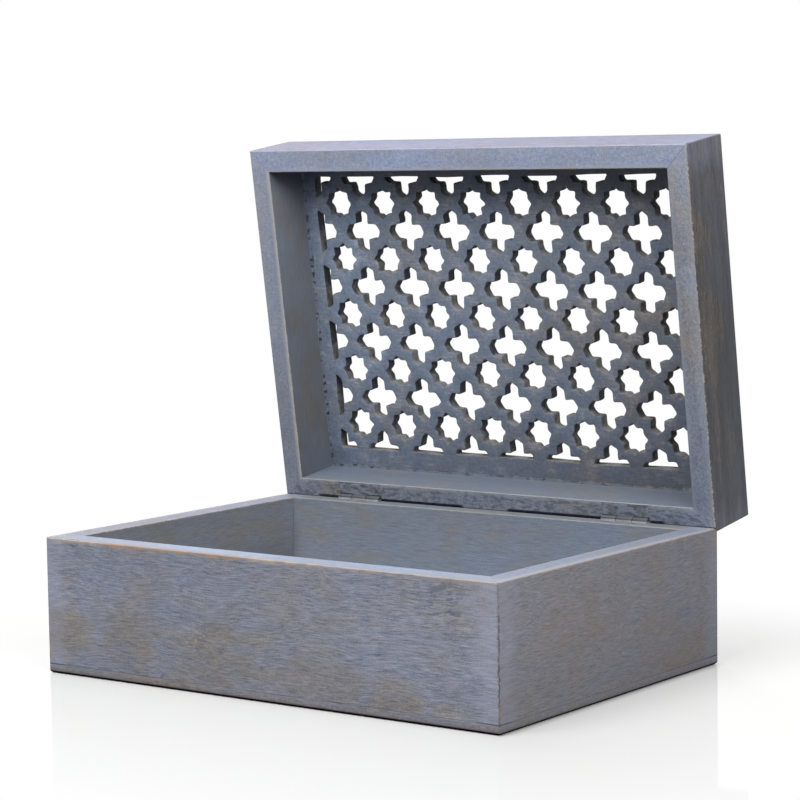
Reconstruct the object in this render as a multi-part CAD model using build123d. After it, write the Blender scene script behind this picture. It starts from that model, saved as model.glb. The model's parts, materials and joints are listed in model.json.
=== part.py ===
from build123d import *
import math
import os

os.makedirs("parts", exist_ok=True)

# A mitred wooden keepsake box with a pierced lattice lid on two butt hinges.
# Millimetres. X runs left to right, the front faces -Y, and Z = 0 is the underside.
# The origin is the middle of the underside. The lid is drawn shut, then turned open.

# Driving dimensions of the case
WIDTH = 250.0
DEPTH = 178.5
BASE_HEIGHT = 63.0
LID_HEIGHT = 32.0
WALL = 12.0
RAIL = 11.0
BOTTOM_BOARD = 4.5
LID_GAP = 0.6
OPEN_ANGLE = 82.0

# Sanded edges of the wood
CORNER_EASE = 0.5
RIM_EASE = 0.5
LID_TOP_EASE = 0.8
BOARD_EASE = 1.2
SEAM_EASE = 0.3
INNER_EASE = 0.35

# Lattice panel and its pattern
PANEL_THICKNESS = 5.5
REBATE_WIDTH = 5.0
PANEL_PLAY = 0.1
STAR_COLUMNS = 8
STAR_ROWS = 5
PITCH_X = 27.0
PITCH_Y = 28.3
STAR_POINTS = 8
STAR_RADIUS = 8.0
CROSS_LENGTH_X = 21.6
CROSS_LENGTH_Y = 22.0
CROSS_ARM_WIDTH = 7.6
CROSS_POINT = 2.3
HALF_CROSS_TRIM = 0.85
PATTERN_SHIFT_X = 1.3
PATTERN_SHIFT_Y = -1.6

# Butt hinges
HINGE_CENTRE_X = 77.5
HINGE_LENGTH = 25.0
AXIS_INSET = 2.4
KNUCKLE_RADIUS = 2.0
MIDDLE_KNUCKLE = 8.5
KNUCKLE_PLAY = 0.3
PIN_RADIUS = 0.9
PIN_CLEARANCE = 0.05
LEAF_THICKNESS = 1.0
LEAF_REACH = 7.8
LEAF_PLAY = 0.1
WOOD_CLEARANCE = 0.3
BEVEL_GAP = 0.4

# Screws and brads
SCREW_SPACING = 15.0
SCREW_REACH = 5.0
SCREW_HEAD_RADIUS = 1.9
SCREW_SHANK_RADIUS = 0.9
SCREW_LENGTH = 9.0
BRAD_THICKNESS = 1.0
BRAD_SET = 0.3
CORNER_BRAD = 24.0
BOARD_BRAD = 15.0
PANEL_BRAD = 14.0
WALL_BRAD_RISES = (24.0, 49.0)
RAIL_BRAD_RISES = (8.0, 18.0)
BOARD_BRADS_X = (-84.0, 0.0, 84.0)
BOARD_BRADS_Y = (-36.0, 36.0)
PANEL_BRADS_X = (-81.0, 0.0, 81.0)
PANEL_BRADS_Y = (-28.0, 28.0)

# Places worked out from the sizes above
LID_LOW = BASE_HEIGHT + LID_GAP
LID_HIGH = LID_LOW + LID_HEIGHT
PANEL_LOW = LID_HIGH - PANEL_THICKNESS
AXIS_Y = DEPTH / 2 - AXIS_INSET
AXIS_Z = BASE_HEIGHT + LID_GAP / 2
BEVEL_ANGLE = OPEN_ANGLE / 2
SIDES = ("front", "back", "left", "right")
HINGES = {"left": -HINGE_CENTRE_X, "right": HINGE_CENTRE_X}
OVER = 5.0
FAR = 400.0


def slab(x_low, x_high, y_low, y_high, z_low, z_high):
    """A plain block between two corners."""
    block = Box(x_high - x_low, y_high - y_low, z_high - z_low)
    return Pos((x_low + x_high) / 2, (y_low + y_high) / 2, (z_low + z_high) / 2) * block


def centred_slab(width, depth, z_low, z_high):
    """A block centred on the Z axis."""
    return slab(-width / 2, width / 2, -depth / 2, depth / 2, z_low, z_high)


def rod_x(x_low, x_high, radius):
    """A round rod along the hinge axis."""
    rod = Rot(0, 90, 0) * Cylinder(radius, x_high - x_low)
    return Pos((x_low + x_high) / 2, AXIS_Y, AXIS_Z) * rod


# Frames of the base and the lid, glued up, sanded, then shared out between four boards


def mitre_share(side, thickness):
    """The space that one mitred board of a four-sided frame takes up."""
    inner = thickness + OVER
    if side in ("front", "back"):
        long_half, end = WIDTH / 2, DEPTH / 2
        turn = 0 if side == "front" else 180
    else:
        long_half, end = DEPTH / 2, WIDTH / 2
        turn = 90 if side == "right" else -90
    outline = Polyline(
        (-long_half - OVER, -end - OVER),
        (long_half + OVER, -end - OVER),
        (long_half - inner, -end + inner),
        (-long_half + inner, -end + inner),
        close=True,
    )
    return Rot(0, 0, turn) * extrude(make_face(outline), amount=FAR)


def eased_block(z_low, z_high, low_ease, high_ease):
    """A block of the case's outer size with its sharp edges taken off."""
    block = centred_slab(WIDTH, DEPTH, z_low, z_high)
    if low_ease:
        block = chamfer(block.edges().group_by(Axis.Z)[0], low_ease)
    if high_ease:
        block = chamfer(block.edges().group_by(Axis.Z)[-1], high_ease)
    return chamfer(block.edges().filter_by(Axis.Z), CORNER_EASE)


def rim_ease(thickness, z_rim, upward):
    """The small bevel round the inner edge of a rim."""
    opening = Rectangle(WIDTH - 2 * thickness, DEPTH - 2 * thickness)
    if upward:
        return extrude(Pos(0, 0, z_rim - INNER_EASE) * opening, amount=INNER_EASE, taper=-45)
    return extrude(Pos(0, 0, z_rim + INNER_EASE) * opening, amount=-INNER_EASE, taper=-45)


def rear_bevel(joint_z, turn):
    """The bevel along a back edge, at half the opening angle, that stops the open lid.

    turn is 1 for the base, whose upper edge is cut, and -1 for the lid.
    """
    tilt = math.radians(BEVEL_ANGLE)
    gap_rise = LID_GAP / 2 * math.cos(tilt)
    width = AXIS_INSET + (BEVEL_GAP / 2 - gap_rise) / math.sin(tilt)
    front_y = DEPTH / 2 - width - OVER
    rear_y = DEPTH / 2 + OVER
    front_z = joint_z + turn * OVER * math.tan(tilt)
    rear_z = joint_z - turn * (width + OVER) * math.tan(tilt)
    clear_z = front_z + turn * OVER
    outline = Polyline(
        (-FAR / 2, front_y, front_z),
        (-FAR / 2, rear_y, rear_z),
        (-FAR / 2, rear_y, clear_z),
        (-FAR / 2, front_y, clear_z),
        close=True,
    )
    return extrude(make_face(outline), amount=FAR, dir=(1, 0, 0))


def base_frame():
    """The four walls of the base as one sanded frame."""
    frame = eased_block(BOTTOM_BOARD, BASE_HEIGHT, 0.0, RIM_EASE)
    frame -= centred_slab(WIDTH - 2 * WALL, DEPTH - 2 * WALL, 0, FAR)
    frame -= rim_ease(WALL, BASE_HEIGHT, True)
    return frame - rear_bevel(BASE_HEIGHT, 1)


def lid_frame():
    """The four rails of the lid as one sanded frame, rebated for the lattice panel."""
    frame = eased_block(LID_LOW, LID_HIGH, RIM_EASE, LID_TOP_EASE)
    opening_x = WIDTH - 2 * RAIL
    opening_y = DEPTH - 2 * RAIL
    frame -= centred_slab(opening_x, opening_y, 0, FAR)
    frame -= rim_ease(RAIL, LID_LOW, False)
    rebate = 2 * REBATE_WIDTH
    frame -= centred_slab(opening_x + rebate, opening_y + rebate, PANEL_LOW, FAR)
    return frame - rear_bevel(LID_LOW, -1)


def bottom_board():
    """The thin board under the walls, flush with them, with a fine groove at the seam."""
    return eased_block(0.0, BOTTOM_BOARD, BOARD_EASE, SEAM_EASE)


# Lattice panel, fretted in one piece


def star_outline():
    """An eight-pointed star: two squares laid across each other."""
    inner = STAR_RADIUS * math.cos(math.pi / 4) / math.cos(math.pi / STAR_POINTS)
    points = []
    for step in range(2 * STAR_POINTS):
        radius = STAR_RADIUS if step % 2 == 0 else inner
        angle = step * math.pi / STAR_POINTS
        points.append((radius * math.cos(angle), radius * math.sin(angle)))
    return make_face(Polyline(*points, close=True))


def cross_outline():
    """A cross with four straight arms that end in points."""
    half = CROSS_ARM_WIDTH / 2
    points = []
    for quarter in range(4):
        length = CROSS_LENGTH_X / 2 if quarter % 2 == 0 else CROSS_LENGTH_Y / 2
        shoulder = length - CROSS_POINT
        arm = [(half, -half), (shoulder, -half), (length, 0.0), (shoulder, half)]
        turn = quarter * math.pi / 2
        for x, y in arm:
            turned_x = x * math.cos(turn) - y * math.sin(turn)
            turned_y = x * math.sin(turn) + y * math.cos(turn)
            points.append((turned_x, turned_y))
    return make_face(Polyline(*points, close=True))


def grid_places(columns, rows):
    """Centres of a grid of openings at the pattern's pitch."""
    places = []
    for column in range(columns):
        for row in range(rows):
            x = (column - (columns - 1) / 2) * PITCH_X
            y = (row - (rows - 1) / 2) * PITCH_Y
            places.append((x, y))
    return places


def lattice_panel():
    """The pierced panel: stars, and crosses between them that are cut in half along the edges."""
    star = star_outline()
    cross = cross_outline()
    field = Rectangle(STAR_COLUMNS * PITCH_X, STAR_ROWS * PITCH_Y - 2 * HALF_CROSS_TRIM)
    cutters = [Pos(x, y) * star for x, y in grid_places(STAR_COLUMNS, STAR_ROWS)]
    cutters += [Pos(x, y) * cross & field for x, y in grid_places(STAR_COLUMNS + 1, STAR_ROWS + 1)]
    size_x = WIDTH - 2 * (RAIL - REBATE_WIDTH + PANEL_PLAY)
    size_y = DEPTH - 2 * (RAIL - REBATE_WIDTH + PANEL_PLAY)
    sheet = Pos(-PATTERN_SHIFT_X, -PATTERN_SHIFT_Y) * Rectangle(size_x, size_y)
    pierced = sheet - cutters
    return extrude(Pos(PATTERN_SHIFT_X, PATTERN_SHIFT_Y, PANEL_LOW) * pierced, amount=PANEL_THICKNESS)


# Butt hinges, let into the wood on both sides of the joint


def knuckle_spans(centre_x, lower):
    """The stretches of the barrel that belong to one leaf."""
    half = HINGE_LENGTH / 2
    middle = MIDDLE_KNUCKLE / 2
    if not lower:
        return [(centre_x - middle, centre_x + middle)]
    near = middle + KNUCKLE_PLAY
    return [(centre_x - half, centre_x - near), (centre_x + near, centre_x + half)]


def leaf_levels(lower):
    """Lower and upper face of a leaf with the lid shut."""
    if lower:
        return BASE_HEIGHT - LEAF_THICKNESS, BASE_HEIGHT
    return LID_LOW, LID_LOW + LEAF_THICKNESS


def leaf_screws(centre_x, lower):
    """The two countersunk screws of a leaf, their heads flush with the leaf's open face."""
    head = LEAF_THICKNESS
    shank = SCREW_LENGTH - head
    screw = Pos(0, 0, -head / 2) * Cone(SCREW_SHANK_RADIUS, SCREW_HEAD_RADIUS, head)
    screw += Pos(0, 0, -head - shank / 2) * Cylinder(SCREW_SHANK_RADIUS, shank)
    face_z = BASE_HEIGHT if lower else LID_LOW
    flip = 0 if lower else 180
    places = (centre_x - SCREW_SPACING / 2, centre_x + SCREW_SPACING / 2)
    return [Pos(x, AXIS_Y - SCREW_REACH, face_z) * Rot(flip, 0, 0) * screw for x in places]


def hinge_leaf(centre_x, lower):
    """One leaf: a square-cornered plate, and its knuckles bored for the pin."""
    half = HINGE_LENGTH / 2
    z_low, z_high = leaf_levels(lower)
    root = AXIS_Y - KNUCKLE_RADIUS - KNUCKLE_PLAY
    leaf = slab(centre_x - half, centre_x + half, AXIS_Y - LEAF_REACH, root, z_low, z_high)
    bore = PIN_RADIUS if lower else PIN_RADIUS + PIN_CLEARANCE
    tongue_end = AXIS_Y - bore - KNUCKLE_PLAY
    for x_low, x_high in knuckle_spans(centre_x, lower):
        leaf += slab(x_low, x_high, root - OVER / 2, tongue_end, z_low, z_high)
        leaf += rod_x(x_low, x_high, KNUCKLE_RADIUS)
    leaf -= rod_x(centre_x - half - OVER, centre_x + half + OVER, bore)
    return leaf - leaf_screws(centre_x, lower)


def hinge_recess(centre_x, lower):
    """The wood taken out for one hinge: a bed for the leaf and a trough for the knuckles."""
    half = HINGE_LENGTH / 2
    z_low, z_high = leaf_levels(lower)
    front = AXIS_Y - LEAF_REACH - LEAF_PLAY
    bed_half = half + LEAF_PLAY
    bed = slab(centre_x - bed_half, centre_x + bed_half, front, AXIS_Y, z_low, z_high)
    trough_half = half + WOOD_CLEARANCE
    radius = KNUCKLE_RADIUS + WOOD_CLEARANCE
    return bed + rod_x(centre_x - trough_half, centre_x + trough_half, radius)


# Brads, set under the surface and filled over


def brad(length):
    """A headless brad of square wire, standing point down with its top at the origin."""
    return centred_slab(BRAD_THICKNESS, BRAD_THICKNESS, -length, 0)


def corner_brads(levels, thickness):
    """Brads driven in along X from both ends of the front and back boards."""
    brads = []
    for hand in (-1, 1):
        for y in (-DEPTH / 2 + thickness / 2, DEPTH / 2 - thickness / 2):
            for z in levels:
                x = hand * (WIDTH / 2 - BRAD_SET)
                brads.append(Pos(x, y, z) * Rot(0, 90 * hand, 0) * brad(CORNER_BRAD))
    return brads


def ring_places(inset, along_x, along_y):
    """Places round the case, inset from its outer faces."""
    x_edge = WIDTH / 2 - inset
    y_edge = DEPTH / 2 - inset
    places = [(x, hand * y_edge) for hand in (-1, 1) for x in along_x]
    return places + [(hand * x_edge, y) for hand in (-1, 1) for y in along_y]


def bottom_brads():
    """Brads driven up through the bottom board into the walls."""
    places = ring_places(WALL / 2, BOARD_BRADS_X, BOARD_BRADS_Y)
    return [Pos(x, y, BRAD_SET) * Rot(180, 0, 0) * brad(BOARD_BRAD) for x, y in places]


def panel_brads():
    """Brads driven down through the panel's edge into the rebate."""
    inset = RAIL - REBATE_WIDTH / 2
    places = ring_places(inset, PANEL_BRADS_X, PANEL_BRADS_Y)
    return [Pos(x, y, LID_HIGH - BRAD_SET) * brad(PANEL_BRAD) for x, y in places]


# Putting the box together

base_nodes = {}
lid_nodes = {}

base_corner_brads = corner_brads(WALL_BRAD_RISES, WALL)
base_bottom_brads = bottom_brads()
frame = base_frame()
for side in SIDES:
    board = frame & mitre_share(side, WALL)
    if side == "back":
        for centre_x in HINGES.values():
            board -= hinge_recess(centre_x, True)
    base_nodes[side + "_wall"] = board - base_corner_brads - base_bottom_brads
base_nodes["bottom_board"] = bottom_board() - base_bottom_brads
base_nodes["wall_corner_brads"] = Compound(children=base_corner_brads)
base_nodes["bottom_board_brads"] = Compound(children=base_bottom_brads)

lid_corner_brads = corner_brads([LID_LOW + rise for rise in RAIL_BRAD_RISES], RAIL)
lid_panel_brads = panel_brads()
frame = lid_frame()
for side in SIDES:
    board = frame & mitre_share(side, RAIL)
    if side == "back":
        for centre_x in HINGES.values():
            board -= hinge_recess(centre_x, False)
    lid_nodes["lid_" + side + "_rail"] = board - lid_corner_brads - lid_panel_brads
lid_nodes["lattice_panel"] = lattice_panel() - lid_panel_brads
lid_nodes["rail_corner_brads"] = Compound(children=lid_corner_brads)
lid_nodes["lattice_panel_brads"] = Compound(children=lid_panel_brads)

for hand, centre_x in HINGES.items():
    half = HINGE_LENGTH / 2
    base_nodes[hand + "_hinge_pin"] = rod_x(centre_x - half, centre_x + half, PIN_RADIUS)
    base_nodes[hand + "_hinge_lower_leaf"] = hinge_leaf(centre_x, True)
    base_nodes[hand + "_lower_leaf_screws"] = Compound(children=leaf_screws(centre_x, True))
    lid_nodes[hand + "_hinge_upper_leaf"] = hinge_leaf(centre_x, False)
    lid_nodes[hand + "_upper_leaf_screws"] = Compound(children=leaf_screws(centre_x, False))

# The lid stands open, turned back on the hinge axis
to_open = Pos(0, AXIS_Y, AXIS_Z) * Rot(-OPEN_ANGLE, 0, 0) * Pos(0, -AXIS_Y, -AXIS_Z)

for name, shape in base_nodes.items():
    export_step(shape, "parts/" + name + ".step")
for name, shape in lid_nodes.items():
    export_step(to_open * shape, "parts/" + name + ".step")
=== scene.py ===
import json
import math
import random
from functools import partial
import bpy
from mathutils import Matrix, Vector, noise
from mathutils.geometry import delaunay_2d_cdt

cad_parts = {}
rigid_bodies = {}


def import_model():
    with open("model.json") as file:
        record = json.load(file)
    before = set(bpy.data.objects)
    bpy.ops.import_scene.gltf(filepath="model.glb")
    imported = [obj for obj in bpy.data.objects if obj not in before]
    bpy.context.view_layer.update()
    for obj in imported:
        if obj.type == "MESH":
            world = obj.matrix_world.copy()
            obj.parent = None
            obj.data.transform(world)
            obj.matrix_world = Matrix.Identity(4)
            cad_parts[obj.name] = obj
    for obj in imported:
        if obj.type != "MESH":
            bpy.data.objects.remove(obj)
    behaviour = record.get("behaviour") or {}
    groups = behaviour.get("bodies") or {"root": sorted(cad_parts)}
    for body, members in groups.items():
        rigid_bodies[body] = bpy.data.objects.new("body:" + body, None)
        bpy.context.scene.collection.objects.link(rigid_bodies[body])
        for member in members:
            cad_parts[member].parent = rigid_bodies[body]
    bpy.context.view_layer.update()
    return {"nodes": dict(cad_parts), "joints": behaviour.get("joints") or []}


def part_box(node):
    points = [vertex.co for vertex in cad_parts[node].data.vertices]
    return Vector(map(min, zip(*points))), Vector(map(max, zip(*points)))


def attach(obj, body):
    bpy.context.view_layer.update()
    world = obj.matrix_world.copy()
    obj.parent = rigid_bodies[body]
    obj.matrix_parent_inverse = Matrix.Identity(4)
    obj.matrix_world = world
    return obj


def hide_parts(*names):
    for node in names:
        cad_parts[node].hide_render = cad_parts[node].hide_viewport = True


# A small mitred keepsake box, washed grey-blue, with a pierced lattice lid on two hinges.
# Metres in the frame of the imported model; sizes named _MM are millimetres.

for leftover in list(bpy.data.objects):
    bpy.data.objects.remove(leftover)
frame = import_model()
nodes = frame["nodes"]
MM = 0.001


# The four walls of the base
# Straight-grained mango wood, 12 mm thick, planed, mitred at the corners and glued.
# A thin grey-blue wash was brushed on along the grain and rubbed back with sandpaper.

BOARD_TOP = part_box("bottom_board")[1]
CASE_HALF_X_MM = BOARD_TOP.x / MM
CASE_HALF_Y_MM = BOARD_TOP.y / MM
SEAM_MM = BOARD_TOP.z / MM
WALL_MM = (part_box("left_wall")[1].x + BOARD_TOP.x) / MM
BASE_RIM_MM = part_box("front_wall")[1].z / MM
HINGE = frame["joints"][0]
OPENED = math.radians(HINGE["range_deg"][1])
ARRIS_MM = 0.12
WELD_MM = 0.001
SOFTENED_DEG = 28

MANGO_DARK = "#544e4b"
MANGO_LIGHT = "#8f8172"
WORN_CREAM = "#a79b8f"
WORN_ORANGE = "#a1846c"
# A MapRange takes the value, both ends of its range and both ends of the result, 0 and 1 if unsaid.
# A Mix takes its share at 0, and colours at 6 and 7 or plain numbers at 2 and 3.
SMOOTH = dict(interpolation_type="SMOOTHSTEP")
COLOUR = dict(out=2, data_type="RGBA")
SHADED = dict(COLOUR, blend_type="MULTIPLY")
TIMES = dict(operation="MULTIPLY")
TIMES_PLUS = dict(operation="MULTIPLY_ADD")
PLUS = dict(operation="ADD")
MINUS = dict(operation="SUBTRACT")
UNSIGNED = dict(operation="ABSOLUTE")
LARGER = dict(operation="MAXIMUM")


def linear(code):
    """An sRGB hex colour as linear red, green, blue and an alpha of one."""
    channels = [int(code[i:i + 2], 16) / 255 for i in (1, 3, 5)]
    curved = [c / 12.92 if c <= 0.04045 else ((c + 0.055) / 1.055) ** 2.4 for c in channels]
    return (*curved, 1.0)


def add(tree, kind, inputs, out=0, **settings):
    """Adds one node with its settings, fills or links its inputs, and returns an output, if any.

    The inputs are a list in the sockets' order, or a dict by socket. A text is a hex colour.
    """
    made = tree.nodes.new("ShaderNode" + kind)
    for key, value in settings.items():
        setattr(made, key, value)
    for key, value in inputs.items() if isinstance(inputs, dict) else enumerate(inputs):
        if isinstance(value, bpy.types.NodeSocket):
            tree.links.new(value, made.inputs[key])
        else:
            made.inputs[key].default_value = linear(value) if isinstance(value, str) else value
    return made.outputs[out] if made.outputs else None


def empty_material(name, turned=False):
    """A material with an empty tree, the call that adds a node to it, and where a point is.

    The place is in millimetres on the shut box; turned is for boards that the hinges carry.
    """
    made = bpy.data.materials.new(name)
    made.use_nodes = True
    made.node_tree.nodes.clear()
    node = partial(add, made.node_tree)
    spot = node("TexCoord", {}, out="Object")
    if turned:
        spot = node("VectorRotate", {0: spot, 1: HINGE["pos_m"], 3: OPENED},
                    rotation_type="X_AXIS")
    return made, node, node("VectorMath", {0: spot, 3: 1 / MM}, operation="SCALE")


def dress(name, material, arris=ARRIS_MM):
    """Puts a finish on a fixed piece and softens its arrises as sandpaper does."""
    piece = nodes[name]
    piece.data.materials.clear()
    piece.data.materials.append(material)
    weld = piece.modifiers.new("weld", "WELD")
    weld.merge_threshold = WELD_MM * MM
    if arris:
        soft = piece.modifiers.new("arris", "BEVEL")
        soft.width = arris * MM
        soft.segments = 2
        soft.limit_method = "ANGLE"
        soft.angle_limit = math.radians(SOFTENED_DEG)


def wash(board, along, seed, thick, rim, far, turned=False, outside=("#7e8496", "#7f7f83"),
         inside=("#6f7888", "#747578"), rims=("#8794ae", "#8c93a3"), waver=1.3, contrast=1.0,
         rim_contrast=0.35, banding=0.35, edge=0.7, inner_edge=0.3, rubbed=(0.5, 0.0, 0.3),
         rub="#999b9f", corner_wear=0.4, ends=0.5, orange=0.2, chewed_rim=False, gaps=(),
         uneven=(), bare_spots=(), orange_spots=(), dark_spots=(), cream_spots=()):
    """Sanded hardwood under a brushed wash: a matt film that shows the grain through it.

    along is the grain's axis and waver how it wanders. rim and far are the levels of the open
    rim and of the other side. outside, inside and rims are the film's colours there, thick and
    thin; contrast, rim_contrast and banding are how loud the grain is in them, and ends how
    pale they are by the corners. edge, inner_edge and corner_wear are how far the arrises are
    rubbed through, orange how warm the wood is there, rubbed how much of the colour rub lies
    beside them: on the rim's outer side, below it, inside. uneven is how the brightness, or
    the wear of the arrises, runs: (where, axis, from, to, first share, last share). Spots are
    (x, y, z, radius, share). gaps, where the joint line is in shadow, are (from x, to x, share).
    """
    material, node, place = empty_material("washed_mango_" + board.rsplit("_", 1)[0], turned)

    # How far a point is from the outer face, the corner, the rim and the mitre, in millimetres
    folded = node("VectorMath", [place], **UNSIGNED)
    inward = node("VectorMath", [(CASE_HALF_X_MM, CASE_HALF_Y_MM, 0), folded], **MINUS)
    from_x, from_y = [node("SeparateXYZ", [inward], out=axis) for axis in "XY"]
    level = node("SeparateXYZ", [place], out="Z")
    depth = node("Math", [from_x, from_y], operation="MINIMUM")
    corner = node("Math", [from_x, from_y], **LARGER)
    off_mitre = node("Math", [corner, depth], **MINUS)
    off_rim, off_far, off_seam, to_inner = [
        node("Math", [node("Math", [one, other], **MINUS)], **UNSIGNED)
        for one, other in ((level, rim), (level, far), (level, SEAM_MM), (thick, depth))]
    rim_outer, rim_inner, far_outer = [
        node("Math", [one, other], **LARGER)
        for one, other in ((depth, off_rim), (to_inner, off_rim), (depth, off_far))]
    indoors = node("MapRange", [depth, thick - 0.9, thick - 0.3], **SMOOTH)
    outdoors = node("MapRange", [depth, thick - 0.3, thick - 0.9], **SMOOTH)
    on_rim = node("MapRange", [off_rim, 0.35, 0.1], **SMOOTH)
    elsewhere = node("Math", [on_rim, indoors], **LARGER)
    face = node("Math", [1.0, elsewhere], **MINUS)

    # The grain: every pattern is drawn long along the board and narrow across it
    moved = node("VectorMath", [place, (seed * 17.3, seed * 29.1, seed * 11.7)])
    drift = node("TexNoise", {"Vector": moved, "Scale": 1 / 38, "Detail": 1.0}, out="Color")
    drift = node("VectorMath", [drift, (0.5, 0.5, 0.5)], **MINUS)
    drift = node("VectorMath", {0: drift, 3: waver * 4}, operation="SCALE")
    fibre = node("VectorMath", [moved, drift])

    def grain(length, width, detail):
        """Noise with features of this length and width in millimetres along the grain."""
        share = [1 / width] * 3
        share[along] = 1 / length
        drawn = node("VectorMath", [fibre, share], **TIMES)
        return node("TexNoise", {"Vector": drawn, "Scale": 1.0, "Detail": detail})

    hairs = grain(6.5, 0.42, 2.0)
    streaks = grain(16, 1.2, 3.0)
    bands = grain(50, 5, 3.0)
    strokes = grain(7, 2.2, 3.0)
    cloud = grain(40, 26, 2.0)
    blotch = grain(13, 9, 4.0)
    speck = grain(1.6, 1.6, 3.0)
    dust = grain(0.7, 0.6, 1.0)

    def near_spots(spots):
        """Soft round areas about points, as one mask."""
        total = 0.0
        for *centre, radius, share in spots:
            away = node("VectorMath", [place, centre], out="Value", operation="DISTANCE")
            away = node("Math", [blotch, -0.7 * radius, away], **TIMES_PLUS)
            near = node("MapRange", {0: away, 1: 0.5 * radius, 2: -0.2 * radius, 4: share},
                        **SMOOTH)
            total = node("Math", [total, near], **LARGER)
        return total

    # The film itself: bluer where it lies thick, browner where the wood tints it
    thin_film = near_spots(bare_spots)
    brown = 0.0
    for pattern, amount in ((blotch, 0.32), (bands, 0.28), (cloud, 0.4), (thin_film, 0.22)):
        brown = node("Math", [pattern, amount, brown], **TIMES_PLUS)
    tint = node("MapRange", [brown, 0.34, 0.72], **SMOOTH)
    outer_film, inner_film, rim_film = [
        node("Mix", {0: tint, 6: thickly, 7: thinly}, **COLOUR)
        for thickly, thinly in (outside, inside, rims)]
    colour = node("Mix", {0: indoors, 6: outer_film, 7: inner_film}, **COLOUR)
    colour = node("Mix", {0: on_rim, 6: colour, 7: rim_film}, **COLOUR)
    by_end = node("Math", [blotch, 16.0, corner], **TIMES_PLUS)
    by_end = node("Math", [cloud, -14.0, by_end], **TIMES_PLUS)
    by_end = node("MapRange", {0: by_end, 1: 17.0, 2: 6.0, 4: ends}, **SMOOTH)
    by_end = node("Math", [by_end, outdoors], **TIMES)
    colour = node("Mix", {0: by_end, 6: colour, 7: "#9598a9"}, **COLOUR)

    # Bare wood in fine broken streaks where the film is thin
    bare = node("Mix", {0: streaks, 6: MANGO_DARK, 7: MANGO_LIGHT}, **COLOUR)
    thin = node("Math", [hairs, 0.5, brown], **TIMES_PLUS)
    thin = node("MapRange", {0: thin, 1: 0.76, 2: 1.06, 4: 0.5}, **SMOOTH)
    colour = node("Mix", {0: thin, 6: colour, 7: bare}, **COLOUR)

    # Light and dark hairs, streaks and dust along the grain, and sanded mottling on the rims
    shade = -0.5 - banding / 2
    for pattern, amount in ((hairs, 1.8), (streaks, 0.5), (bands, banding), (dust, 0.7)):
        shade = node("Math", [pattern, amount, shade], **TIMES_PLUS)
    mottled = -0.65
    for pattern, amount in ((dust, 1.4), (speck, 1.2), (blotch, 0.7)):
        mottled = node("Math", [pattern, amount, mottled], **TIMES_PLUS)
    shade = node("Mix", {0: on_rim, 2: shade, 3: mottled})
    loud = node("Mix", {0: indoors, 2: contrast, 3: 0.45 * contrast})
    loud = node("Math", [by_end, -0.8 * contrast, loud], **TIMES_PLUS)
    loud = node("Mix", {0: on_rim, 2: loud, 3: rim_contrast})
    colour = node("Mix", {0: loud, 6: colour, 7: shade}, **SHADED)

    # How the light and the hand that brushed made a face run lighter or darker along it
    areas = {"rims": on_rim, "inside": indoors, "outside": face}
    less_worn = 1.0
    for where, axis, start, stop, first, last in uneven:
        run = node("SeparateXYZ", [place], out=axis)
        run = node("MapRange", [run, start, stop, first, last])
        if where == "arrises":
            less_worn = run
        else:
            colour = node("Mix", {0: areas[where], 6: colour, 7: run}, **SHADED)

    # Dark dry strokes of the brush, and pale flecks where the paper caught the grain
    dry = node("MapRange", [strokes, 0.5, 0.64], **SMOOTH)
    dry_share = node("Math", [near_spots(dark_spots), 0.08], **PLUS)
    fleck = node("MapRange", [grain(2.0, 0.6, 1.0), 0.6, 0.7], **SMOOTH)
    fleck_share = node("MapRange", [brown, 0.52, 0.62, 0.03, 0.25], **SMOOTH)
    fleck_share = node("Math", [near_spots(cream_spots), fleck_share], **PLUS)
    for mark, share, paint in ((dry, dry_share, "#4d5364"), (fleck, fleck_share, WORN_CREAM)):
        mark = node("Math", [mark, share], **TIMES)
        mark = node("Math", [mark, outdoors], **TIMES)
        colour = node("Mix", {0: mark, 6: colour, 7: paint}, **COLOUR)

    height = node("Math", [streaks, 0.5, hairs], **TIMES_PLUS)
    if chewed_rim:
        chewed = grain(4.0, 1.5, 4.0)
        dents = node("MapRange", {0: chewed, 1: 0.54, 2: 0.4, 4: 0.6}, **SMOOTH)
        dents = node("Math", [dents, on_rim], **TIMES)
        colour = node("Mix", {0: dents, 6: colour, 7: "#3f444e"}, **COLOUR)
        lift = node("Math", [chewed, on_rim], **TIMES)
        height = node("Math", [lift, 4.0, height], **TIMES_PLUS)

    # Beside the arrises of the rim the film is rubbed pale
    ragged = node("Math", [speck, 2.4, -1.65], **TIMES_PLUS)
    ragged = node("Math", [blotch, 0.9, ragged], **TIMES_PLUS)
    pale_rim = 0.0
    for distance, wide, share in ((depth, 5.0, rubbed[0]), (to_inner, 2.6, rubbed[2])):
        soft = node("Math", [distance, ragged], **PLUS)
        soft = node("MapRange", {0: soft, 1: wide, 2: 0.0, 4: share}, **SMOOTH)
        pale_rim = node("Math", [pale_rim, soft], **LARGER)
    pale_rim = node("Math", [pale_rim, on_rim], **TIMES)
    colour = node("Mix", {0: pale_rim, 6: colour, 7: rub}, **COLOUR)

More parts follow.
